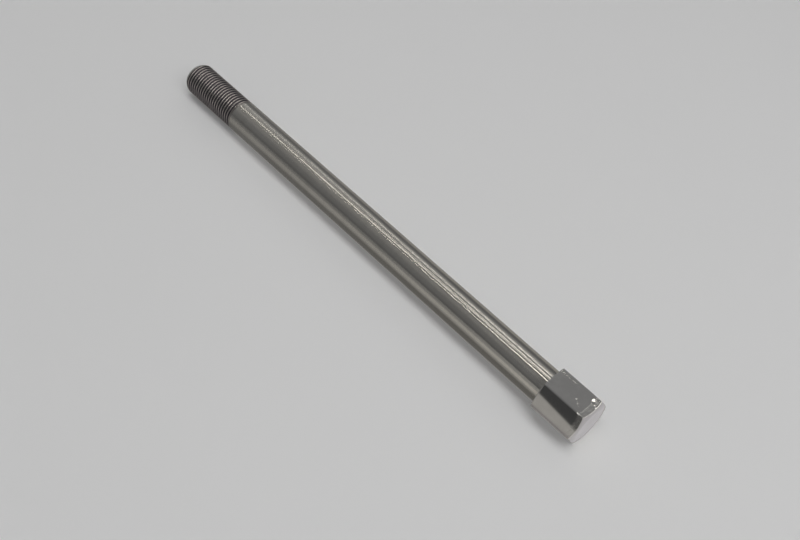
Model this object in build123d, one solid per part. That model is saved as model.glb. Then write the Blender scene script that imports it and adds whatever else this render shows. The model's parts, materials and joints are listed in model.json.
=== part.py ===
"""Cylinder head bolt, turned in one piece from stainless hexagon bar.

The bolt lies on its side along X, with one flat of its hexagon facing down. The origin is the
centre of the bearing face under the head: the shank runs towards +X and the head towards -X.
Lengths are in millimetres and angles in degrees.
"""

import os
from math import cos, radians, tan

from build123d import *

# The shank and its threaded end
SHANK_DIAMETER = 9.525  # 3/8 in, ground
UNDER_HEAD_LENGTH = 141.3  # from the bearing face to the tip, 5 9/16 in
UNDER_HEAD_FILLET = 0.4  # where the shank meets the bearing face
THREAD_LENGTH = 21.7  # from the end of the ground shank to the tip
THREAD_CREST_DIAMETER = 9.5  # over the crests of the 26 per inch thread
POINT_LENGTH = 1.2  # the lead-in at the tip, measured along the bolt
POINT_DEPTH = 0.7  # how far the lead-in drops below the crests

# The hexagon head
ACROSS_FLATS = 11.8
HEAD_HEIGHT = 12.7  # 1/2 in
ARRIS_RADIUS = 0.2  # the six long edges, softened by polishing
CHAMFER_ANGLE = 30.0  # of both turned chamfers, measured from the end planes
TOP_CHAMFER_INSET = 0.35  # the top chamfer meets the plane of the top face this far inside the flats
TOP_EDGE_RADIUS = 4.0  # the broad curve that polishing leaves between the top face and its chamfer
BEARING_FACE_OVERHANG = 0.5  # the bearing face is a circle this far outside the flats

# Worked out from the sizes above
SHANK_RADIUS = SHANK_DIAMETER / 2
CREST_RADIUS = THREAD_CREST_DIAMETER / 2
THREAD_START = UNDER_HEAD_LENGTH - THREAD_LENGTH
HALF_FLATS = ACROSS_FLATS / 2
HALF_CORNERS = HALF_FLATS / cos(radians(30))


def turned_shank() -> Part:
    """The ground shank, the crest cylinder of the thread and the pointed tip."""
    root = -HEAD_HEIGHT / 2  # inside the head, so that the two fuse into one solid
    fillet_top = SHANK_RADIUS + UNDER_HEAD_FILLET
    shoulder = SHANK_RADIUS - CREST_RADIUS  # a 45 degree step down to the thread
    with BuildPart() as shank:
        with BuildSketch(Plane.XY):
            with BuildLine():
                Polyline((UNDER_HEAD_LENGTH, 0), (root, 0), (root, fillet_top), (0, fillet_top))
                CenterArc((UNDER_HEAD_FILLET, fillet_top), UNDER_HEAD_FILLET, 180, 90)
                Polyline(
                    (UNDER_HEAD_FILLET, SHANK_RADIUS),
                    (THREAD_START, SHANK_RADIUS),
                    (THREAD_START + shoulder, CREST_RADIUS),
                    (UNDER_HEAD_LENGTH - POINT_LENGTH, CREST_RADIUS),
                    (UNDER_HEAD_LENGTH, CREST_RADIUS - POINT_DEPTH),
                    (UNDER_HEAD_LENGTH, 0),
                )
            make_face()
        revolve(axis=Axis.X)
    return shank.part


def turning_envelope() -> Part:
    """The body of revolution that the lathe leaves around the head: two shallow cones, which cut
    the hexagon's corners back in curved arrises at the top and at the bearing face."""
    slope = tan(radians(CHAMFER_ANGLE))
    widest = HALF_CORNERS + BEARING_FACE_OVERHANG  # just clear of the corners
    top_radius = HALF_FLATS - TOP_CHAMFER_INSET
    bearing_radius = HALF_FLATS + BEARING_FACE_OVERHANG
    top_chamfer = (widest - top_radius) * slope
    bearing_chamfer = (widest - bearing_radius) * slope
    with BuildPart() as envelope:
        with BuildSketch(Plane.XY) as profile:
            with BuildLine():
                Polyline(
                    (0, 0),
                    (-HEAD_HEIGHT, 0),
                    (-HEAD_HEIGHT, top_radius),
                    (-HEAD_HEIGHT + top_chamfer, widest),
                    (-bearing_chamfer, widest),
                    (0, bearing_radius),
                    (0, 0),
                )
            make_face()
            top_edge = profile.vertices().sort_by(Axis.X)[:2].sort_by(Axis.Y)[-1]
            fillet(top_edge, TOP_EDGE_RADIUS)
        revolve(axis=Axis.X)
    return envelope.part


def hexagon_head() -> Part:
    """The hexagon bar, flat side down, inside the envelope that the lathe leaves."""
    with BuildPart() as bar:
        with BuildSketch(Plane.YZ.offset(-HEAD_HEIGHT)) as section:
            RegularPolygon(HALF_FLATS, 6, major_radius=False)
            fillet(section.vertices(), ARRIS_RADIUS)
        extrude(amount=HEAD_HEIGHT)
    return bar.part & turning_envelope()


def main() -> None:
    """Fuses the head and the shank, and writes the bolt as one solid."""
    bolt = hexagon_head() + turned_shank()
    bolt.label = "cylinder_head_bolt"
    os.makedirs("parts", exist_ok=True)
    export_step(bolt, "parts/cylinder_head_bolt.step")


main()
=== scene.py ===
"""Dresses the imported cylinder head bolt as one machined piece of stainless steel.

The hexagon head is polished bright, the shank is ground with fine rings round it, and the thread
is a true right-hand helix. The bolt lies on a pale floor under soft lamps. Lengths in the classes
are in metres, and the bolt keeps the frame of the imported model: its axis is X, the bearing face
under the head is at X = 0, and the head is on the negative side.
"""

import json
import logging
from collections.abc import Sequence
from dataclasses import dataclass
from enum import Enum
from math import asin, atan2, cos, degrees, hypot, pi, radians, sin, sqrt, tan

import bmesh
import bpy
from mathutils import Matrix, Quaternion, Vector


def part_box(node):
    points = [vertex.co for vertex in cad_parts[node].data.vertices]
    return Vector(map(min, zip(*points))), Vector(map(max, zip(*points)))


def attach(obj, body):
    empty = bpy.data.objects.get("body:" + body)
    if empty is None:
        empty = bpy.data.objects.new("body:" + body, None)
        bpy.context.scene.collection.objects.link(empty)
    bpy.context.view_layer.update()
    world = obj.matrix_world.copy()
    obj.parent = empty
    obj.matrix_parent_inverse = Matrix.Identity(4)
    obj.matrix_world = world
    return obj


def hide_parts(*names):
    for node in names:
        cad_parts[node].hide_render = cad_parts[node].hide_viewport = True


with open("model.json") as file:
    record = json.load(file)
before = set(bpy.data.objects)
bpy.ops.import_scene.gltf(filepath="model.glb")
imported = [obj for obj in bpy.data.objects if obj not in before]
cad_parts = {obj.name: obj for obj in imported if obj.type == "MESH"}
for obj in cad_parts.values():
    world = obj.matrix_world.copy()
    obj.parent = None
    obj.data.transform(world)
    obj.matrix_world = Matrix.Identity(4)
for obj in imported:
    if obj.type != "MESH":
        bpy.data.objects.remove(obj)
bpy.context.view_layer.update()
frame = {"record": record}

Socket = bpy.types.NodeSocket
Pair = tuple[float, float]
Triple = tuple[float, float, float]
Colour = tuple[float, float, float, float]

NODE = "cylinder_head_bolt"
BODY = "root"
MM = 0.001
LOG = logging.getLogger("head_bolt")


class Finish(Enum):
    """The three finishes of the bolt, in the order of its material slots."""

    POLISHED = 0
    GROUND = 1
    THREADED = 2


class Graph:
    """Adds nodes to one node tree and joins them."""

    def __init__(self, tree: bpy.types.NodeTree) -> None:
        """Keeps the tree.

        Args:
            tree: The node tree of a material, a world or a group.
        """
        self.tree = tree

    def add(self, kind: str, inputs: dict | None = None, **settings: object) -> bpy.types.Node:
        """Adds one node.

        Args:
            kind: The node's type name.
            inputs: What goes into each input, by name or number: a value or another node's output.
            **settings: Properties set on the node itself.

        Returns:
            The new node.
        """
        node = self.tree.nodes.new(kind)
        for name, value in settings.items():
            setattr(node, name, value)
        for name, value in (inputs or {}).items():
            self.feed(node.inputs[name], value)
        return node

    def feed(self, socket: Socket, value: object) -> None:
        """Links an output to a socket, or sets the socket's own value.

        Args:
            socket: The input to fill.
            value: An output socket, or a plain value.
        """
        if isinstance(value, Socket):
            self.tree.links.new(value, socket)
        else:
            socket.default_value = value

    def math(self, operation: str, *values: object, clamp: bool = False) -> Socket:
        """Adds a Math node.

        Args:
            operation: The node's operation.
            *values: Its operands, each an output or a number.
            clamp: Whether the result stays between 0 and 1.

        Returns:
            The result's socket.
        """
        inputs = dict(enumerate(values))
        return self.add("ShaderNodeMath", inputs, operation=operation, use_clamp=clamp).outputs[0]

    def vector(self, operation: str, *values: object) -> bpy.types.Node:
        """Adds a Vector Math node.

        Args:
            operation: The node's operation.
            *values: Its operands, each an output or three numbers.

        Returns:
            The node.
        """
        return self.add("ShaderNodeVectorMath", dict(enumerate(values)), operation=operation)

    def ramp(self, value: object, low: float, high: float) -> Socket:
        """Maps a value smoothly to 0 at low and 1 at high.

        Args:
            value: The output to map.
            low: Where the result is 0.
            high: Where the result is 1.

        Returns:
            The result's socket.
        """
        inputs = {"Value": value, "From Min": low, "From Max": high}
        return self.add("ShaderNodeMapRange", inputs, interpolation_type="SMOOTHSTEP").outputs[0]

    def blend(self, share: object, first: object, second: object) -> Socket:
        """Mixes two colours.

        Args:
            share: How much of the second colour shows, from 0 to 1.
            first: The colour at 0.
            second: The colour at 1.

        Returns:
            The mixed colour's socket.
        """
        colours = {0: share, 6: first, 7: second}
        return self.add("ShaderNodeMix", colours, data_type="RGBA").outputs[2]

    def noise(self, where: object, scale: float, detail: float = 2.0,
              roughness: float = 0.5) -> Socket:
        """Adds a noise pattern.

        Args:
            where: The coordinates that it reads.
            scale: Its scale.
            detail: How many finer layers it has.
            roughness: How strong the finer layers are.

        Returns:
            The pattern's value, about 0.5.
        """
        inputs = {"Vector": where, "Scale": scale, "Detail": detail, "Roughness": roughness}
        return self.add("ShaderNodeTexNoise", inputs).outputs["Fac"]

    def position(self) -> tuple[Socket, list[Socket]]:
        """Adds the object's own coordinates.

        Returns:
            The coordinates, and their three parts.
        """
        where = self.add("ShaderNodeTexCoord").outputs["Object"]
        return where, list(self.add("ShaderNodeSeparateXYZ", {0: where}).outputs)

    def from_axis(self, parts: list[Socket]) -> Socket:
        """Measures how far a place is from the bolt's axis.

        Args:
            parts: The three parts of the place's coordinates.

        Returns:
            The distance's socket.
        """
        squares = [self.math("MULTIPLY", part, part) for part in parts[1:]]
        return self.math("SQRT", self.math("ADD", *squares))

    def bump(self, height: object, strength: float, depth: float) -> Socket:
        """Adds a bump.

        Args:
            height: The surface's height, in units of the depth.
            strength: How strongly it tilts the surface.
            depth: How deep one unit of height is, in metres.

        Returns:
            The tilted normal's socket.
        """
        inputs = {"Strength": strength, "Distance": depth, "Height": height}
        return self.add("ShaderNodeBump", inputs).outputs[0]


def new_group(name: str, inputs: dict[str, tuple[str, object]],
              outputs: dict[str, str]) -> tuple[bpy.types.NodeTree, Graph]:
    """Starts a shader node group.

    Args:
        name: The group's name.
        inputs: The type and default of each input, by name.
        outputs: The type of each output, by name.

    Returns:
        The group's tree, and a graph that adds nodes to it.
    """
    tree = bpy.data.node_groups.new(name, "ShaderNodeTree")
    for label, (kind, default) in inputs.items():
        socket = tree.interface.new_socket(label, in_out="INPUT", socket_type=kind)
        if default is not None:
            socket.default_value = default
    for label, kind in outputs.items():
        tree.interface.new_socket(label, in_out="OUTPUT", socket_type=kind)
    return tree, Graph(tree)


class Patterns:
    """The patterns that more than one finish uses, each a node group built once."""

    SLOWER = (0.12, 0.5, 0.5)
    FINE_SHARE = 0.7
    CLOUD_MIDDLE = 0.75
    CLOUD_EDGE = 0.3

    def __init__(self) -> None:
        """Builds the groups."""
        self.rings = self._rings()
        self.smudges = self._smudges()
        self.nick = self._nick()

    def _rings(self) -> bpy.types.NodeTree:
        """Fine rings round the bolt's axis, as turning and grinding leave them.

        Returns:
            The group. Its height is coarse and fine rings together, and its tone is slower.
        """
        tree, graph = new_group(
            "tool_rings",
            {"Pitch": ("NodeSocketFloat", 6000.0), "Break Up": ("NodeSocketFloat", 150.0)},
            {"Height": "NodeSocketFloat", "Tone": "NodeSocketFloat"},
        )
        given = graph.add("NodeGroupInput").outputs
        where = graph.add("ShaderNodeTexCoord").outputs["Object"]
        scale = graph.add("ShaderNodeCombineXYZ", {0: given["Pitch"], 1: given["Break Up"],
                                                   2: given["Break Up"]}).outputs[0]
        fine = graph.noise(graph.vector("MULTIPLY", where, scale).outputs[0], 1.0, 3.0, 0.6)
        slow = graph.vector("MULTIPLY", where, scale).outputs[0]
        slow = graph.vector("MULTIPLY", slow, self.SLOWER).outputs[0]
        tone = graph.noise(slow, 1.0, 2.0, 0.5)
        height = graph.math("ADD", graph.math("MULTIPLY", fine, self.FINE_SHARE),
                            graph.math("MULTIPLY", tone, 1 - self.FINE_SHARE))
        graph.add("NodeGroupOutput", {"Height": height, "Tone": tone})
        return tree

    def _smudges(self) -> bpy.types.NodeTree:
        """Soft clouds, as oil and handling leave them.

        Returns:
            The group, whose mask runs from 0 where clean to 1 where smudged.
        """
        tree, graph = new_group(
            "smudges",
            {"Scale": ("NodeSocketFloat", 150.0), "Cover": ("NodeSocketFloat", 0.5)},
            {"Mask": "NodeSocketFloat"},
        )
        given = graph.add("NodeGroupInput").outputs
        where = graph.add("ShaderNodeTexCoord").outputs["Object"]
        cloud = graph.noise(where, given["Scale"], 4.0, 0.62)
        low = graph.math("SUBTRACT", self.CLOUD_MIDDLE, given["Cover"])
        high = graph.math("ADD", low, self.CLOUD_EDGE)
        graph.add("NodeGroupOutput", {"Mask": graph.ramp(cloud, low, high)})
        return tree

    @staticmethod
    def _nick() -> bpy.types.NodeTree:
        """One straight scratch between two points of the surface.

        Returns:
            The group, whose mask is 1 along the scratch and 0 beyond its width.
        """
        tree, graph = new_group(
            "nick",
            {"From": ("NodeSocketVector", None), "To": ("NodeSocketVector", None),
             "Width": ("NodeSocketFloat", 0.0001)},
            {"Mask": "NodeSocketFloat"},
        )
        given = graph.add("NodeGroupInput").outputs
        where = graph.add("ShaderNodeTexCoord").outputs["Object"]
        along = graph.vector("SUBTRACT", given["To"], given["From"]).outputs[0]
        reach = graph.vector("SUBTRACT", where, given["From"]).outputs[0]
        share = graph.math("DIVIDE", graph.vector("DOT_PRODUCT", reach, along).outputs["Value"],
                           graph.vector("DOT_PRODUCT", along, along).outputs["Value"], clamp=True)
        foot = graph.add("ShaderNodeVectorMath", {0: along, "Scale": share},
                         operation="SCALE").outputs[0]
        away = graph.vector("DISTANCE", reach, foot).outputs["Value"]
        mask = graph.math("SUBTRACT", 1.0, graph.math("DIVIDE", away, given["Width"]), clamp=True)
        graph.add("NodeGroupOutput", {"Mask": mask})
        return tree


def place(graph: Graph, group: bpy.types.NodeTree, inputs: dict | None = None) -> bpy.types.Node:
    """Places a node group in a material with its own values.

    Args:
        graph: The material's graph.
        group: The group.
        inputs: The values of its inputs, by name.

    Returns:
        The group's node.
    """
    node = graph.tree.nodes.new("ShaderNodeGroup")
    node.node_tree = group
    for name, value in (inputs or {}).items():
        graph.feed(node.inputs[name], value)
    return node


def new_material(name: str) -> tuple[bpy.types.Material, Graph, bpy.types.Node]:
    """Starts a material with a Principled shader.

    Args:
        name: The material's name.

    Returns:
        The material, a graph that adds nodes to it, and its Principled node.
    """
    material = bpy.data.materials.new(name)
    material.use_nodes = True
    material.node_tree.nodes.clear()
    graph = Graph(material.node_tree)
    shader = graph.add("ShaderNodeBsdfPrincipled")
    graph.add("ShaderNodeOutputMaterial", {"Surface": shader.outputs[0]})
    return material, graph, shader


def shade(colour: tuple[float, ...], share: float) -> tuple[float, ...]:
    """Darkens a colour, and leaves its alpha.

    Args:
        colour: Red, green, blue and alpha.
        share: How much of the colour is left.

    Returns:
        The darker colour.
    """
    return tuple(value * share for value in colour[:3]) + (1.0,)


@dataclass(frozen=True)
class Nick:
    """A scratch or a dent on the upper flat of the head, or on its edge: its ends along and
    across the bolt, and its width to one side, in millimetres, and the slope of its walls."""

    start: Pair
    end: Pair
    width: float = 0.10
    slope: float = 0.36


@dataclass(frozen=True)
class PolishedSteel:
    """Bright polished stainless steel, with faint clouds, a hazy band at its end and some nicks.
    Scales are in waves per metre. The heights of the rings and the line are in millimetres."""

    colour: Colour = (0.66, 0.65, 0.635, 1.0)
    cloud_tint: float = 0.94
    cloud_scale: float = 220.0
    cloud_cover: float = 0.45
    roughness: float = 0.02
    worn_roughness: float = 0.25
    nick_gain: float = 3.0
    ring_pitch: float = 9000.0
    ring_break_up: float = 120.0
    ring_height: float = 0.00012
    flat_height: float = 5.9 * MM
    band: float = -10.8 * MM
    band_bow: float = 0.22
    band_edge: float = 0.05 * MM
    band_on_sides: float = 0.7
    band_roughness: float = 0.16
    band_height: float = 0.0006
    speck_scale: float = 9000.0
    speck_range: Pair = (0.55, 0.62)
    line_width: float = 0.07 * MM
    line_height: float = -0.014
    nicks: tuple[Nick, ...] = (
        Nick((-0.55, -2.40), (-1.25, -2.50), 0.17, 0.40),
        Nick((-1.45, -2.35), (-2.0, -2.55), 0.16, 0.40),
        Nick((-2.85, -2.45), (-2.95, -2.20), 0.15, 0.40),
        Nick((-3.9, -2.45), (-4.3, -2.30), 0.15, 0.40),
        Nick((-4.5, -2.50), (-4.9, -2.30), 0.15, 0.40),
        Nick((-7.7, 0.75), (-7.95, 0.95), 0.20, 0.40),
        Nick((-7.95, 0.95), (-8.9, 1.30), 0.07),
        Nick((-8.6, 1.50), (-9.5, 2.05), 0.07),
        Nick((-10.90, -2.20), (-10.90, -1.90), 0.70, 0.42),
        Nick((-11.55, -1.20), (-11.60, -1.10), 0.24),
        Nick((-12.20, -0.85), (-12.20, -0.75), 0.20),
        Nick((-10.35, 3.25), (-10.75, 3.25), 0.26, 0.60),
        Nick((-12.30, 2.90), (-12.30, 3.20), 0.22, 0.60),
        Nick((-0.15, 3.20), (-0.30, 3.26), 0.20, 0.60),
    )

    def material(self, patterns: Patterns) -> bpy.types.Material:
        """Builds the material.

        Args:
            patterns: The shared node groups.

        Returns:
            The material.
        """
        material, graph, shader = new_material("polished_steel")
        where, parts = graph.position()
        shader.inputs["Metallic"].default_value = 1.0
        cloud = place(graph, patterns.smudges, {"Scale": self.cloud_scale,
                                                "Cover": self.cloud_cover}).outputs["Mask"]
        tint = shade(self.colour, self.cloud_tint)
        graph.feed(shader.inputs["Base Color"], graph.blend(cloud, self.colour, tint))
        cut, height = self._nicks(graph, patterns)
        haze, line = self._band(graph, parts)
        specks = graph.ramp(graph.noise(where, self.speck_scale, 1.0, 0.5), *self.speck_range)
        rough = graph.math("MULTIPLY_ADD", graph.math("MULTIPLY", specks, haze),
                           self.band_roughness, self.roughness)
        worn = graph.math("MAXIMUM", graph.math("MULTIPLY", cut, self.nick_gain, clamp=True), line)
        rough = graph.math("MULTIPLY_ADD", worn, self.worn_roughness, rough)
        graph.feed(shader.inputs["Roughness"], rough)
        rings = place(graph, patterns.rings, {"Pitch": self.ring_pitch,
                                              "Break Up": self.ring_break_up}).outputs["Height"]
        polish = graph.math("MULTIPLY_ADD", haze, self.band_height, self.ring_height)
        height = graph.math("MULTIPLY_ADD", rings, polish, height)
        height = graph.math("MULTIPLY_ADD", line, self.line_height, height)
        graph.feed(shader.inputs["Normal"], graph.bump(height, 1.0, MM))
        return material

    def _band(self, graph: Graph, parts: list[Socket]) -> tuple[Socket, Socket]:
        """Marks the band by the head's end that the polishing wheel reached less.

        Args:
            graph: The material's graph.
            parts: The three parts of the object's coordinates.

        Returns:
            The band's mask, and the mask of the fine line where it starts.
        """
        past_flat = graph.math("SUBTRACT", graph.from_axis(parts), self.flat_height)
        bow = graph.math("MULTIPLY", past_flat, self.band_bow)
        along = graph.math("SUBTRACT", parts[0], bow)
        haze = graph.ramp(along, self.band + self.band_edge, self.band - self.band_edge)
        away = graph.math("ABSOLUTE", graph.math("SUBTRACT", along, self.band))
        on_top = graph.ramp(parts[2], self.flat_height - 0.3 * MM, self.flat_height - 0.1 * MM)
        share = graph.math("MULTIPLY_ADD", on_top, 1 - self.band_on_sides, self.band_on_sides)
        line = graph.math("MULTIPLY", graph.ramp(away, self.line_width, 0.0), on_top)
        return graph.math("MULTIPLY", haze, share), line

    def _nicks(self, graph: Graph, patterns: Patterns) -> tuple[Socket, Socket]:
        """Adds the nicks up.

        Args:
            graph: The material's graph.
            patterns: The shared node groups.

        Returns:
            The mask of all the nicks together, and the surface's height in them, in millimetres.
        """
        total: object = 0.0
        height: object = 0.0
        for nick in self.nicks:
            start, end = (Vector((*point, self.flat_height / MM)) * MM
                          for point in (nick.start, nick.end))
            mask = place(graph, patterns.nick, {"From": start, "To": end,
                                                "Width": nick.width * MM}).outputs["Mask"]
            total = graph.math("MAXIMUM", total, mask)
            height = graph.math("MULTIPLY_ADD", mask, -nick.slope * nick.width, height)
        return total, height


@dataclass(frozen=True)
class GroundSteel:
    """Ground stainless steel, whose rings smear the light along the shank. Scales are in waves
    per metre."""

    colour: Colour = (0.60, 0.585, 0.555, 1.0)
    darker: Colour = (0.50, 0.485, 0.455, 1.0)
    roughness: float = 0.20
    cloud_roughness: float = 0.04
    cloud_scale: float = 60.0
    anisotropy: float = 1.0
    quarter_turn: float = 0.25
    ring_pitch: float = 9000.0
    ring_break_up: float = 260.0
    ring_strength: float = 0.05
    ring_depth: float = 0.01 * MM

    def material(self, patterns: Patterns) -> bpy.types.Material:
        """Builds the material.

        Args:
            patterns: The shared node groups.

        Returns:
            The material.
        """
        material, graph, shader = new_material("ground_steel")
        shader.inputs["Metallic"].default_value = 1.0
        shader.inputs["Anisotropic"].default_value = self.anisotropy
        shader.inputs["Anisotropic Rotation"].default_value = self.quarter_turn
        tangent = graph.add("ShaderNodeTangent", direction_type="RADIAL", axis="X")
        graph.feed(shader.inputs["Tangent"], tangent.outputs[0])
        rings = place(graph, patterns.rings, {"Pitch": self.ring_pitch,
                                              "Break Up": self.ring_break_up}).outputs
        cloud = place(graph, patterns.smudges, {"Scale": self.cloud_scale}).outputs["Mask"]
        tone = graph.math("MULTIPLY_ADD", cloud, 0.5, graph.math("MULTIPLY", rings["Tone"], 0.5))
        graph.feed(shader.inputs["Base Color"], graph.blend(tone, self.colour, self.darker))
        rough = graph.math("MULTIPLY_ADD", cloud, self.cloud_roughness, self.roughness)
        graph.feed(shader.inputs["Roughness"], rough)
        normal = graph.bump(rings["Height"], self.ring_strength, self.ring_depth)
        graph.feed(shader.inputs["Normal"], normal)
        return material


@dataclass(frozen=True)
class CutThread:
    """Die-cut stainless thread: worn crests, and flanks and roots darkened by painted shade in the
    grooves and by clouds of oil. Scales are in waves per metre."""

    crest: Colour = (0.45, 0.42, 0.40, 1.0)
    # Painted shade: the flanks and roots take this dark colour, which stands in for the shade in
    # the thread's grooves; under the clouds of oil the crests darken towards it too.
    root: Colour = (0.075, 0.07, 0.08, 1.0)
    bare: Colour = (0.66, 0.66, 0.63, 1.0)
    crest_radius: float = 4.75 * MM
    groove_shade_depth: float = 0.24 * MM
    crest_colour_depth: float = 0.02 * MM
    end: float = 141.3 * MM
    faced_from: float = 1.05 * MM
    faced_full: float = 0.85 * MM
    cloud_scale: float = 400.0
    cloud_share: float = 0.25
    roughness: float = 0.5
    worn_polish: float = 0.22
    ring_pitch: float = 14000.0
    ring_break_up: float = 500.0
    ring_strength: float = 0.3
    ring_depth: float = 0.01 * MM

    def material(self, patterns: Patterns) -> bpy.types.Material:
        """Builds the material.

        Args:
            patterns: The shared node groups.

        Returns:
            The material.
        """
        material, graph, shader = new_material("cut_thread")
        shader.inputs["Metallic"].default_value = 1.0
        parts = graph.position()[1]
        # Painted shade: with depth below the crests the colour turns from the crest colour to the
        # dark root colour, standing in for the shade in the grooves; clean is the share of crest
        # colour left, lowered further under the clouds of oil.
        worn = graph.ramp(graph.from_axis(parts), self.crest_radius - self.groove_shade_depth,
                          self.crest_radius - self.crest_colour_depth)
        cloud = place(graph, patterns.smudges, {"Scale": self.cloud_scale}).outputs["Mask"]
        clean = graph.math("MULTIPLY_ADD", cloud, -self.cloud_share, worn, clamp=True)
        steel = graph.blend(clean, self.root, self.crest)
        faced = graph.ramp(parts[0], self.end - self.faced_from, self.end - self.faced_full)
        graph.feed(shader.inputs["Base Color"], graph.blend(faced, steel, self.bare))
        graph.feed(shader.inputs["Roughness"],
                   graph.math("MULTIPLY_ADD", clean, -self.worn_polish, self.roughness))
        rings = place(graph, patterns.rings, {"Pitch": self.ring_pitch,
                                              "Break Up": self.ring_break_up}).outputs
        normal = graph.bump(rings["Height"], self.ring_strength, self.ring_depth)
        graph.feed(shader.inputs["Normal"], normal)
        return material


def arc(centre: Pair, radius: float, first: float, last: float, steps: int) -> list[Pair]:
    """The points of a rounded corner in a half plane through the bolt's axis.

    Args:
        centre: Where along the axis, and how far from it, the arc's centre is.
        radius: The arc's radius.
        first: The direction of the first point, in degrees from -X towards the outside.
        last: The direction of the last point.
        steps: How many chords the arc has.

    Returns:
        The points as pairs of place along the axis and distance from it.
    """
    points = []
    for step in range(steps + 1):
        turn = radians(first + (last - first) * step / steps)
        points.append((centre[0] - radius * cos(turn), centre[1] + radius * sin(turn)))
    return points


@dataclass
class HexHead:
    """The hexagon head: turned on the lathe, then milled to six flats, then polished."""

    height: float
    across_flats: float
    arris: float = 0.2 * MM
    chamfer: float = radians(30)
    top_inset: float = 0.35 * MM
    overhang: float = 0.5 * MM
    top_edge: float = 4.0 * MM
    top_corner: float = 0.14 * MM
    bearing_corner: float = 0.13 * MM
    guard: float = 0.05 * MM
    corner_steps: int = 6
    flat_steps: int = 12
    flat_margin: float = radians(0.5)
    side_bands: int = 4
    curve_chords: int = 6
    corner_chords: int = 4
    edge_chords: int = 2

    @property
    def half_flats(self) -> float:
        """The distance from the axis to a flat."""
        return self.across_flats / 2

    @property
    def columns(self) -> int:
        """How many columns of faces go round the head."""
        return 6 * (self.corner_steps + 2 + self.flat_steps)

    def reach(self, turn: float) -> float:
        """How far the hexagon's side is from the axis.

        Args:
            turn: The angle round the axis from a corner, in radians.

        Returns:
            The distance, with the corners rounded.
        """
        away = abs((turn + pi / 6) % (pi / 3) - pi / 6)
        centre = (self.half_flats - self.arris) / cos(pi / 6)
        if away < self.tangent():
            return centre * cos(away) + sqrt(self.arris ** 2 - (centre * sin(away)) ** 2)
        return self.half_flats / cos(pi / 6 - away)

    def tangent(self) -> float:
        """The angle from a corner's middle to where its rounding ends, in radians."""
        centre = (self.half_flats - self.arris) / cos(pi / 6)
        return atan2(self.arris * sin(pi / 6), centre + self.arris * cos(pi / 6))

    def column_angle(self, column: int) -> float:
        """The angle of one column, with most of the columns close to the corners.

        Args:
            column: The column's number.

        Returns:
            Its angle round the axis, in radians from a corner.
        """
        each = self.columns // 6
        sector, place_in = divmod(column, each)
        edge, side = self.tangent(), self.flat_margin
        half = self.corner_steps // 2
        if place_in <= half:
            local = edge * place_in / half
        elif place_in >= each - half:
            local = pi / 3 - edge * (each - place_in) / half
        else:
            share = (place_in - half - 1) / self.flat_steps
            local = edge + side + share * (pi / 3 - 2 * edge - 2 * side)
        return sector * pi / 3 + local

    def section(self, side: float) -> list[Pair]:
        """The head's outline in a half plane through the axis, from its top to its bearing face.

        Args:
            side: How far the hexagon's side is from the axis in that half plane.

        Returns:
            The points as pairs of place along the axis and distance from it.
        """
        top, upper = self._top(side)
        lower, last = self._bearing(side)
        start, stop = upper[-1][0] + self.guard, lower[0][0] - self.guard
        points = [(-self.height, top[0][1] * 0.5), (-self.height, top[0][1] - self.guard)]
        points += top + upper
        points += [(start + (stop - start) * step / self.side_bands, side)
                   for step in range(self.side_bands + 1)]
        points += lower + last + [(0.0, last[-1][1] - self.guard)]
        return points

    def _top(self, side: float) -> tuple[list, list]:
        """The broad curve between the top face and the chamfer, and the chamfer's outer corner.

        Args:
            side: How far the hexagon's side is from the axis.

        Returns:
            The points of the broad curve, and the points of the corner.
        """
        meeting = self.half_flats - self.top_inset
        flat = meeting - self.top_edge * tan(self.chamfer / 2)
        away = side - self.top_corner
        inner = self.top_edge - self.top_corner
        turn = asin(min((away - flat) / inner, sin(self.chamfer)))
        deep = self.top_edge - inner * cos(turn)
        if turn >= self.chamfer:
            deep = (self.top_corner + sin(turn) * (away - meeting)) / cos(turn)
        curve = arc((self.top_edge - self.height, flat), self.top_edge, 0, degrees(turn),
                    self.curve_chords)
        corner = arc((deep - self.height, away), self.top_corner, degrees(turn), 90,
                     self.corner_chords)
        return curve, corner

    def _bearing(self, side: float) -> tuple[list, list]:
        """The corner between the side and the lower chamfer, and the edge of the bearing face.

        Args:
            side: How far the hexagon's side is from the axis.

        Returns:
            The points of the corner, and the points of the edge.
        """
        ease = self.bearing_corner
        lean, rise = cos(self.chamfer), sin(self.chamfer)
        bearing_radius = self.half_flats + self.overhang
        deep = max(ease, (ease + rise * (side - ease - bearing_radius)) / lean)
        inside = min(side - ease, bearing_radius - ease * (1 - lean) / rise)
        turned = 180 - degrees(self.chamfer)
        corner = arc((-deep, side - ease), ease, 90, turned, self.corner_chords)
        return corner, arc((-ease, inside), ease, turned, 180, self.edge_chords)


@dataclass
class Shank:
    """The ground shank, from its fillet under the head to the start of the thread."""

    radius: float
    length: float
    fillet: float = 0.4 * MM
    fillet_chords: int = 5
    bands: int = 12
    guard: float = 0.05 * MM

    def section(self) -> list[Pair]:
        """The shank's outline in a half plane through the axis, from the bearing face on. A
        narrow band at each end keeps the smooth shading of the long ones straight.

        Returns:
            The points as pairs of place along the axis and distance from it.
        """
        crown = self.radius + self.fillet
        points = [(0.0, crown + self.guard)]
        for step in range(self.fillet_chords + 1):
            turn = pi / 2 * step / self.fillet_chords
            points.append((self.fillet * (1 - cos(turn)), crown - self.fillet * sin(turn)))
        start = self.fillet + self.guard
        run = self.length - self.guard - start
        points += [(start + run * step / self.bands, self.radius)
                   for step in range(self.bands + 1)]
        points.append((self.length, self.radius))
        return points


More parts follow.
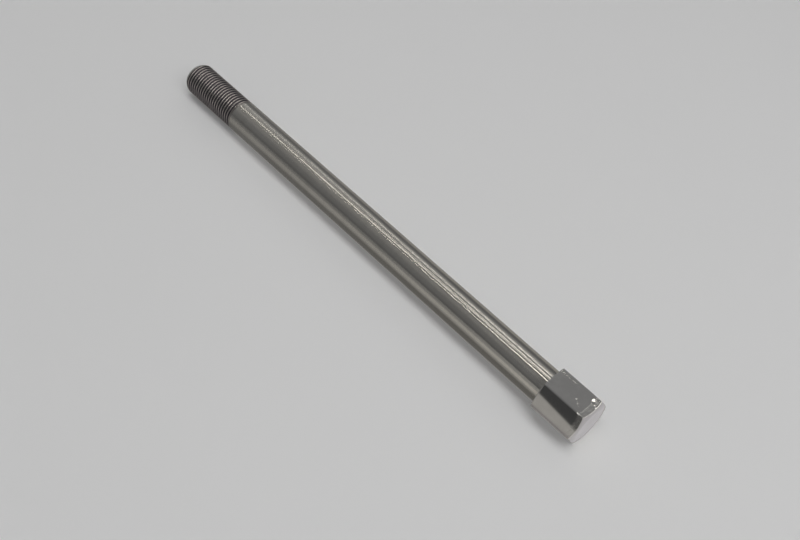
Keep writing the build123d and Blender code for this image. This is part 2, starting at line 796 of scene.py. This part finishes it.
@dataclass
class Thread:
    """The thread at the bolt's end: a right-hand helix with rounded crests and roots."""

    start: float
    end: float
    crest: float = 4.75 * MM
    pitch: float = 25.4 / 26 * MM
    depth_share: float = 0.5327
    rounding_share: float = 1 / 6
    run_out: float = 1.0 * MM
    point_length: float = 1.2 * MM
    point_depth: float = 0.7 * MM
    plain_point: float = 0.85 * MM
    tip_edge: float = 0.12 * MM
    columns: int = 106
    rounding_steps: int = 3
    rounding_step: float = 20.0
    turns_before: float = 1.5
    weld: float = 0.004 * MM
    cut: float = 0.0001 * MM

    def rib(self) -> list[Pair]:
        """One pitch of the thread's form, from the middle of a crest to just before the next.

        Returns:
            The points as pairs of place along the pitch and depth below the crest.
        """
        rounding = self.pitch * self.rounding_share
        depth = self.pitch * self.depth_share
        crest = []
        for step in range(self.rounding_steps + 1):
            turn = radians(self.rounding_step * step)
            crest.append((rounding * sin(turn), rounding * (1 - cos(turn))))
        root = [(self.pitch / 2 - along, depth - down) for along, down in reversed(crest)]
        half = crest + root
        back = [(self.pitch - along, down) for along, down in reversed(half[1:-1])]
        return half + back

    def add_to(self, bm: bmesh.types.BMesh) -> None:
        """Cuts the thread in a bar, and gives it its run-out, its lead-in and its flat end.

        Args:
            bm: The mesh that it is added to.
        """
        below = self.start - self.turns_before * self.pitch
        turns = int((self.end - below) / self.pitch) + 2
        form = [(below + self.pitch * turn + along, self.crest - down)
                for turn in range(turns) for along, down in self.rib()]
        line = [bm.verts.new((along, away, 0.0)) for along, away in form]
        edges = [bm.edges.new(pair) for pair in zip(line, line[1:])]
        step = Vector((self.pitch / self.columns, 0.0, 0.0))
        bmesh.ops.spin(bm, geom=line + edges, cent=(0, 0, 0), axis=(1, 0, 0), dvec=step,
                       angle=2 * pi, steps=self.columns, use_merge=False)
        bmesh.ops.remove_doubles(bm, verts=bm.verts[:], dist=self.weld)
        for vert in bm.verts:
            self._shape(vert)
        self._trim(bm, self.start, -1)
        self._trim(bm, self.end, 1)
        self._close_tip(bm)

    def _shape(self, vert: bmesh.types.BMVert) -> None:
        """Fades the groove out towards the shank, and keeps the vertex inside the lead-in cone.

        Args:
            vert: The vertex, which is moved towards or away from the axis.
        """
        away = hypot(vert.co.y, vert.co.z)
        share = min(1.0, max(0.0, (vert.co.x - self.start) / self.run_out))
        before_point = self.end - self.plain_point - vert.co.x
        share *= min(1.0, max(0.0, before_point / (self.plain_point / 2)))
        share = share * share * (3 - 2 * share)
        wanted = self.crest - (self.crest - away) * share
        into = vert.co.x - (self.end - self.point_length)
        wanted = min(wanted, self.crest - into * self.point_depth / self.point_length)
        vert.co.y *= wanted / away
        vert.co.z *= wanted / away

    def _trim(self, bm: bmesh.types.BMesh, along: float, side: int) -> None:
        """Cuts the bar square at a place, and drops what is beyond it.

        Args:
            bm: The mesh.
            along: Where on the axis the cut is.
            side: 1 to drop what is beyond it, and -1 to drop what is before it.
        """
        geometry = bm.verts[:] + bm.edges[:] + bm.faces[:]
        bmesh.ops.bisect_plane(bm, geom=geometry, dist=self.cut, plane_co=(along, 0, 0),
                               plane_no=(side, 0, 0), clear_outer=True, clear_inner=False)

    @staticmethod
    def open_ring(bm: bmesh.types.BMesh, along: float) -> list[bmesh.types.BMEdge]:
        """The open edges at a place.

        Args:
            bm: The mesh.
            along: Where on the axis they are.

        Returns:
            The edges.
        """
        return [edge for edge in bm.edges if edge.is_boundary
                and all(abs(vert.co.x - along) < 0.01 * MM for vert in edge.verts)]

    def _close_tip(self, bm: bmesh.types.BMesh) -> None:
        """Closes the end with a flat face whose edge is slightly rounded.

        Args:
            bm: The mesh.
        """
        rim = self.open_ring(bm, self.end)
        made = bmesh.ops.contextual_create(bm, geom=rim)
        around = [edge for face in made["faces"] for edge in face.edges]
        bmesh.ops.bevel(bm, geom=around, offset=self.tip_edge, offset_type="OFFSET", segments=3,
                        profile=0.5, affect="EDGES", material=-1, clamp_overlap=True)


@dataclass
class HeadBolt:
    """The whole bolt: head, shank and thread joined as one closed skin."""

    head: HexHead
    shank: Shank
    thread: Thread
    polished: PolishedSteel
    ground: GroundSteel
    threaded: CutThread
    name: str = "head_bolt"
    weld: float = 0.0005 * MM

    def make(self, patterns: Patterns) -> bpy.types.Object:
        """Builds the bolt and dresses it.

        Args:
            patterns: The shared node groups.

        Returns:
            The bolt's object.
        """
        bm = bmesh.new()
        self.thread.add_to(bm)
        thread_ring = self.thread.open_ring(bm, self.thread.start)
        shank_ring = self._turned(bm)
        bmesh.ops.bridge_loops(bm, edges=thread_ring + shank_ring)
        bmesh.ops.remove_doubles(bm, verts=bm.verts[:], dist=self.weld)
        bmesh.ops.dissolve_degenerate(bm, dist=self.weld, edges=bm.edges[:])
        bmesh.ops.recalc_face_normals(bm, faces=bm.faces[:])
        self._finish_faces(bm)
        open_edges = sum(1 for edge in bm.edges if not edge.is_manifold)
        LOG.info("bolt skin: %d faces, %d open edges", len(bm.faces), open_edges)
        mesh = bpy.data.meshes.new(self.name)
        bm.to_mesh(mesh)
        bm.free()
        for finish in (self.polished, self.ground, self.threaded):
            mesh.materials.append(finish.material(patterns))
        bolt = bpy.data.objects.new(self.name, mesh)
        bpy.context.scene.collection.objects.link(bolt)
        return bolt

    def _turned(self, bm: bmesh.types.BMesh) -> list[bmesh.types.BMEdge]:
        """Turns the head and the shank from one outline, and mills the head's flats.

        Args:
            bm: The mesh that they are added to.

        Returns:
            The edges of the open ring at the shank's end.
        """
        before = set(bm.verts)
        outline = [(-self.head.height, 0.0)] + self.head.section(self.head.reach(0.0))
        milled = len(outline)
        outline += self.shank.section()
        level = bm.verts.layers.int.new("level")
        line = [bm.verts.new((along, away, 0.0)) for along, away in outline]
        for number, vert in enumerate(line):
            vert[level] = number + 1
        edges = [bm.edges.new(pair) for pair in zip(line, line[1:])]
        columns = self.head.columns
        bmesh.ops.spin(bm, geom=line + edges, cent=(0, 0, 0), axis=(1, 0, 0), dvec=(0, 0, 0),
                       angle=2 * pi, steps=columns, use_merge=True)
        sections = {column: self.head.section(self.head.reach(self.head.column_angle(column)))
                    for column in range(columns)}
        for vert in bm.verts:
            if vert in before or not 1 < vert[level] <= milled:
                continue
            column = round(atan2(vert.co.z, vert.co.y) / (2 * pi) * columns) % columns
            turn = self.head.column_angle(column)
            along, away = sections[column][vert[level] - 2]
            vert.co = (along, away * cos(turn), away * sin(turn))
        end = outline[-1][0]
        return [edge for edge in bm.edges if edge.is_boundary and edge.verts[0] not in before
                and all(abs(vert.co.x - end) < 0.001 * MM for vert in edge.verts)
                and all(abs(hypot(vert.co.y, vert.co.z) - self.shank.radius) < 0.001 * MM
                        for vert in edge.verts)]

    def _finish_faces(self, bm: bmesh.types.BMesh) -> None:
        """Gives each face its finish, and smooth shading.

        Args:
            bm: The mesh.
        """
        for face in bm.faces:
            face.smooth = True
            along = face.calc_center_median().x
            if along < self.shank.fillet * 0.5:
                face.material_index = Finish.POLISHED.value
            elif along < self.thread.start:
                face.material_index = Finish.GROUND.value
            else:
                face.material_index = Finish.THREADED.value


@dataclass
class Floor:
    """The pale floor that the bolt lies on. It slopes by the half degree by which the bolt's
    thinner threaded end drops, so that the head and the thread both touch it."""

    height: float
    slope: float
    side: float = 5.2
    colour: Colour = (0.80, 0.80, 0.80, 1.0)
    mottle_scale: float = 25.0
    mottle_tint: float = 0.985
    roughness: float = 0.7
    specular: float = 0.25
    # Painted light: the floor glows by this much everywhere, which lifts its shadows, and glows
    # more far off, so that it fades into the backdrop.
    glow: float = 0.1
    far_glow: float = 0.27
    far: Pair = (0.35, 1.5)

    def make(self) -> bpy.types.Object:
        """Builds the floor, which shows in no reflection: the room stands in for it there.

        Returns:
            The floor's object.
        """
        bm = bmesh.new()
        made = bmesh.ops.create_grid(bm, x_segments=2, y_segments=2, size=self.side / 2)["verts"]
        bmesh.ops.rotate(bm, cent=(0, 0, 0), matrix=Matrix.Rotation(-self.slope, 3, "Y"),
                         verts=made)
        bmesh.ops.translate(bm, vec=(0.0, 0.0, self.height), verts=made)
        mesh = bpy.data.meshes.new("floor")
        bm.to_mesh(mesh)
        bm.free()
        mesh.materials.append(self._material())
        floor = bpy.data.objects.new("floor", mesh)
        floor.visible_glossy = False
        bpy.context.scene.collection.objects.link(floor)
        return floor

    def _material(self) -> bpy.types.Material:
        """Builds a matt, faintly mottled white that glows, which is painted light: the glow lifts
        the shadows on it and brightens it far off.

        Returns:
            The material.
        """
        material, graph, shader = new_material("pale_floor")
        where = graph.position()[0]
        cloud = graph.noise(where, self.mottle_scale, 3.0, 0.5)
        deeper = shade(self.colour, self.mottle_tint)
        graph.feed(shader.inputs["Base Color"], graph.blend(cloud, self.colour, deeper))
        shader.inputs["Roughness"].default_value = self.roughness
        shader.inputs["Specular IOR Level"].default_value = self.specular
        shader.inputs["Emission Color"].default_value = (1.0, 1.0, 1.0, 1.0)
        # Painted light: the floor's glow, even near the bolt and stronger far off.
        away = graph.vector("LENGTH", where).outputs["Value"]
        glow = graph.math("MULTIPLY_ADD", graph.ramp(away, *self.far), self.far_glow, self.glow)
        graph.feed(shader.inputs["Emission Strength"], glow)
        return material


@dataclass(frozen=True)
class Lamp:
    """A soft rectangular lamp that faces the bolt. It is placed by its angle round the bolt's
    axis, from the camera's side over the top, and by how far it leans towards the thread."""

    name: str
    around: float
    lean: float
    spread: float
    length: float
    radiance: float
    mirrored: bool = True
    distance: float = 1.6
    colour: Triple = (1.0, 0.97, 0.90)

    def make(self, aim: Vector) -> bpy.types.Object:
        """Builds the lamp.

        Args:
            aim: The point that it faces.

        Returns:
            The lamp's object.
        """
        turn, tilt = radians(self.around), radians(self.lean)
        away = Vector((sin(tilt), cos(tilt) * cos(turn), cos(tilt) * sin(turn)))
        along = Vector((cos(tilt), -sin(tilt) * cos(turn), -sin(tilt) * sin(turn)))
        light = bpy.data.lights.new(self.name, "AREA")
        light.shape = "RECTANGLE"
        light.size = 2 * self.distance * tan(radians(self.length) / 2)
        light.size_y = 2 * self.distance * tan(radians(self.spread) / 2)
        light.energy = self.radiance * pi * light.size * light.size_y
        light.color = self.colour
        lamp = bpy.data.objects.new(self.name, light)
        lamp.visible_camera = False
        lamp.visible_glossy = self.mirrored
        lamp.visible_diffuse = not self.mirrored
        axes = Matrix((along, away.cross(along), away)).transposed()
        lamp.matrix_world = Matrix.Translation(aim + away * self.distance) @ axes.to_4x4()
        bpy.context.scene.collection.objects.link(lamp)
        return lamp


@dataclass(frozen=True)
class Room:
    """What the bolt mirrors between the lamps. The room's tones go round the bolt's axis, from
    the camera's side over the top. The table's far edge, below which it is light, is turned a
    little from the bolt, and the head's end faces the lit side of the room."""

    above: tuple[Pair, ...] = (
        (0, 0.06), (2.1, 0.06), (3.3, 0.19), (16, 0.16), (23, 0.13), (37, 0.19), (62, 0.20),
        (78, 0.19), (85, 0.15), (95, 0.10), (103, 0.15), (117, 0.13), (120.5, 0.25),
        (124.5, 0.25), (133, 0.36), (146, 0.39), (156, 0.20), (163, 0.16), (174, 0.16),
        (180, 0.28),
    )
    below: tuple[Pair, ...] = (
        (-180, 0.30), (-172, 0.38), (-150, 0.38), (-118, 0.34), (-104, 0.34), (-95, 0.18),
        (-40, 0.17), (-26, 0.40), (0, 0.40),
    )
    table_edge: Triple = (-0.0687, -0.003, 1.0)
    edge_blur: float = 0.0009
    table_tint: Triple = (1.02, 0.99, 0.93)
    lit_side: Colour = (0.565, 0.55, 0.565, 1.0)
    lit_lean: Pair = (-0.35, -0.50)
    lit_low_lean: Pair = (-0.05, -0.16)
    lit_low_turn: Pair = (-0.53, -0.58)
    thread_side: Colour = (0.22, 0.22, 0.22, 1.0)
    thread_lean: Pair = (0.40, 0.75)
    gap: Colour = (0.21, 0.19, 0.20, 1.0)
    gap_plane: Triple = (0.0, -0.0069, 1.0)
    gap_top: Pair = (0.0003, -0.0003)
    gap_foot: Pair = (-0.008, -0.006)
    backdrop: Colour = (0.55, 0.55, 0.55, 1.0)

    def make(self) -> None:
        """Builds the world. The camera sees a plain backdrop, and the bolt mirrors the room."""
        world = bpy.data.worlds.new("room")
        bpy.context.scene.world = world
        world.use_nodes = True
        world.node_tree.nodes.clear()
        graph = Graph(world.node_tree)
        way = graph.add("ShaderNodeTexCoord").outputs["Generated"]
        parts = list(graph.add("ShaderNodeSeparateXYZ", {0: way}).outputs)
        turn = graph.math("DIVIDE", graph.math("ARCTAN2", parts[2], parts[1]), pi)
        upper = self._tones(graph, turn, self.above)
        lower = self._lower(graph, way, parts, turn)
        edge = graph.vector("DOT_PRODUCT", way, self.table_edge).outputs["Value"]
        tone = graph.blend(graph.ramp(edge, -self.edge_blur, self.edge_blur), lower, upper)
        backdrop = graph.add("ShaderNodeBackground", {"Color": self.backdrop}).outputs[0]
        room = graph.add("ShaderNodeBackground", {"Color": tone}).outputs[0]
        seen = graph.add("ShaderNodeLightPath").outputs["Is Camera Ray"]
        mixed = graph.add("ShaderNodeMixShader", {0: seen, 1: room, 2: backdrop})
        graph.add("ShaderNodeOutputWorld", {"Surface": mixed.outputs[0]})

    def _lower(self, graph: Graph, way: Socket, parts: list[Socket], turn: Socket) -> Socket:
        """Adds what lies below the table's edge.

        Args:
            graph: The world's graph.
            way: The direction that is looked in.
            parts: The direction's three parts.
            turn: The angle round the bolt's axis, in half turns.

        Returns:
            The colour's socket.
        """
        stops = [(angle + 180, tone) for angle, tone in self.below]
        lower = self._tones(graph, graph.math("ADD", turn, 1.0), stops)
        lower = graph.vector("MULTIPLY", lower, self.table_tint).outputs[0]
        lower = graph.blend(graph.ramp(parts[0], *self.thread_lean), lower, self.thread_side)
        beside = graph.math("MULTIPLY", graph.ramp(parts[0], *self.lit_low_lean),
                            graph.ramp(turn, *self.lit_low_turn))
        lit = graph.math("MAXIMUM", beside, graph.ramp(parts[0], *self.lit_lean))
        lower = graph.blend(lit, lower, self.lit_side)
        under = graph.vector("DOT_PRODUCT", way, self.gap_plane).outputs["Value"]
        gap = graph.math("MULTIPLY", graph.ramp(under, *self.gap_top),
                         graph.ramp(under, *self.gap_foot))
        return graph.blend(gap, lower, self.gap)

    @staticmethod
    def _tones(graph: Graph, share: Socket, stops: Sequence[Pair]) -> Socket:
        """Adds the tones of half a turn.

        Args:
            graph: The world's graph.
            share: The angle, as a share of the half turn.
            stops: Pairs of angle, in degrees from 0 to 180, and tone.

        Returns:
            The tone's socket.
        """
        node = graph.add("ShaderNodeValToRGB", {"Fac": share})
        ramp = node.color_ramp
        for angle, tone in stops[1:-1]:
            ramp.elements.new(angle / 180).color = (tone, tone, tone, 1.0)
        for end in (0, -1):
            ramp.elements[end].color = (stops[end][1],) * 3 + (1.0,)
        return node.outputs[0]


@dataclass
class Studio:
    """The lamps and the room round the bolt."""

    aim: Vector
    room: Room = Room()
    lamps: tuple[Lamp, ...] = (
        Lamp("soft_box", 88.0, -20.0, 24.0, 80.0, 2.35, mirrored=False, distance=0.8,
             colour=(1, 1, 1)),
        Lamp("veil", 106.0, 45.0, 56.0, 34.0, 0.10),
        Lamp("spark", 122.0, -32.0, 30.0, 16.0, 4.0),
        Lamp("tube_far_head", 127.0, -5.0, 3.0, 28.0, 6.0),
        Lamp("tube_far", 136.5, 19.0, 2.6, 13.0, 2.3),
        Lamp("tube_middle_head", 110.5, -5.0, 4.5, 28.0, 5.0),
        Lamp("tube_middle", 104.5, 23.5, 2.5, 15.0, 4.8),
        Lamp("tube_end", 104.5, 41.0, 2.2, 20.0, 1.7),
        Lamp("tube_near", 88.5, -4.0, 1.5, 26.0, 19.0),
        Lamp("thread_light", 77.0, -54.0, 20.0, 24.0, 6.0),
        Lamp("window", 1.0, -8.0, 38.0, 33.0, 0.55),
    )

    def make(self) -> None:
        """Lights the lamps and the room."""
        for lamp in self.lamps:
            lamp.make(self.aim)
        self.room.make()


@dataclass
class Viewpoint:
    """The camera: where it stands, what it looks at, and how it is turned about its own axis."""

    place: Vector
    aim: Vector
    roll: float
    lens: float = 44.75

    def make(self) -> bpy.types.Object:
        """Builds the camera and makes it the scene's own.

        Returns:
            The camera's object.
        """
        data = bpy.data.cameras.new("camera")
        data.lens = self.lens
        data.sensor_width = 36.0
        data.clip_start = 0.01
        data.clip_end = 20.0
        camera = bpy.data.objects.new("camera", data)
        look = (self.aim - self.place).normalized()
        facing = look.to_track_quat("-Z", "Y")
        camera.rotation_mode = "QUATERNION"
        camera.rotation_quaternion = Quaternion(look, self.roll) @ facing
        camera.location = self.place
        bpy.context.scene.collection.objects.link(camera)
        bpy.context.scene.camera = camera
        return camera


def main() -> None:
    """Builds the bolt, the floor, the lamps and the camera in order."""
    logging.basicConfig(level=logging.INFO, format="%(name)s: %(message)s")
    low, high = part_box(NODE)
    mounts = {mount["name"]: mount for mount in frame["record"]["mounts"]}
    shank_radius = mounts["shank"]["dims"]["r_mm"] * MM
    middle = mounts["thread"]["pos_m"][0]
    thread = Thread(start=2 * middle - high.x, end=high.x)
    bolt = HeadBolt(
        head=HexHead(height=-low.x, across_flats=high.z - low.z),
        shank=Shank(radius=shank_radius, length=thread.start),
        thread=thread,
        polished=PolishedSteel(flat_height=high.z),
        ground=GroundSteel(),
        threaded=CutThread(end=high.x),
    )
    piece = bolt.make(Patterns())
    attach(piece, BODY)
    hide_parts(NODE)
    LOG.info("piece %s on body %s", piece.name, BODY)
    contact = thread.end - thread.point_length
    slope = atan2(-low.z - thread.crest, contact)
    LOG.info("stage %s", Floor(height=low.z, slope=slope).make().name)
    Studio(aim=Vector((0.05, 0.0, 0.0))).make()
    bpy.context.scene.view_settings.view_transform = "Standard"
    camera = Viewpoint(place=Vector((-0.05757, 0.12322, 0.19926)),
                       aim=Vector((0.05235, -0.00054, low.z)), roll=radians(-7.24))
    LOG.info("camera %s", camera.make().name)


if __name__ == "__main__":
    main()
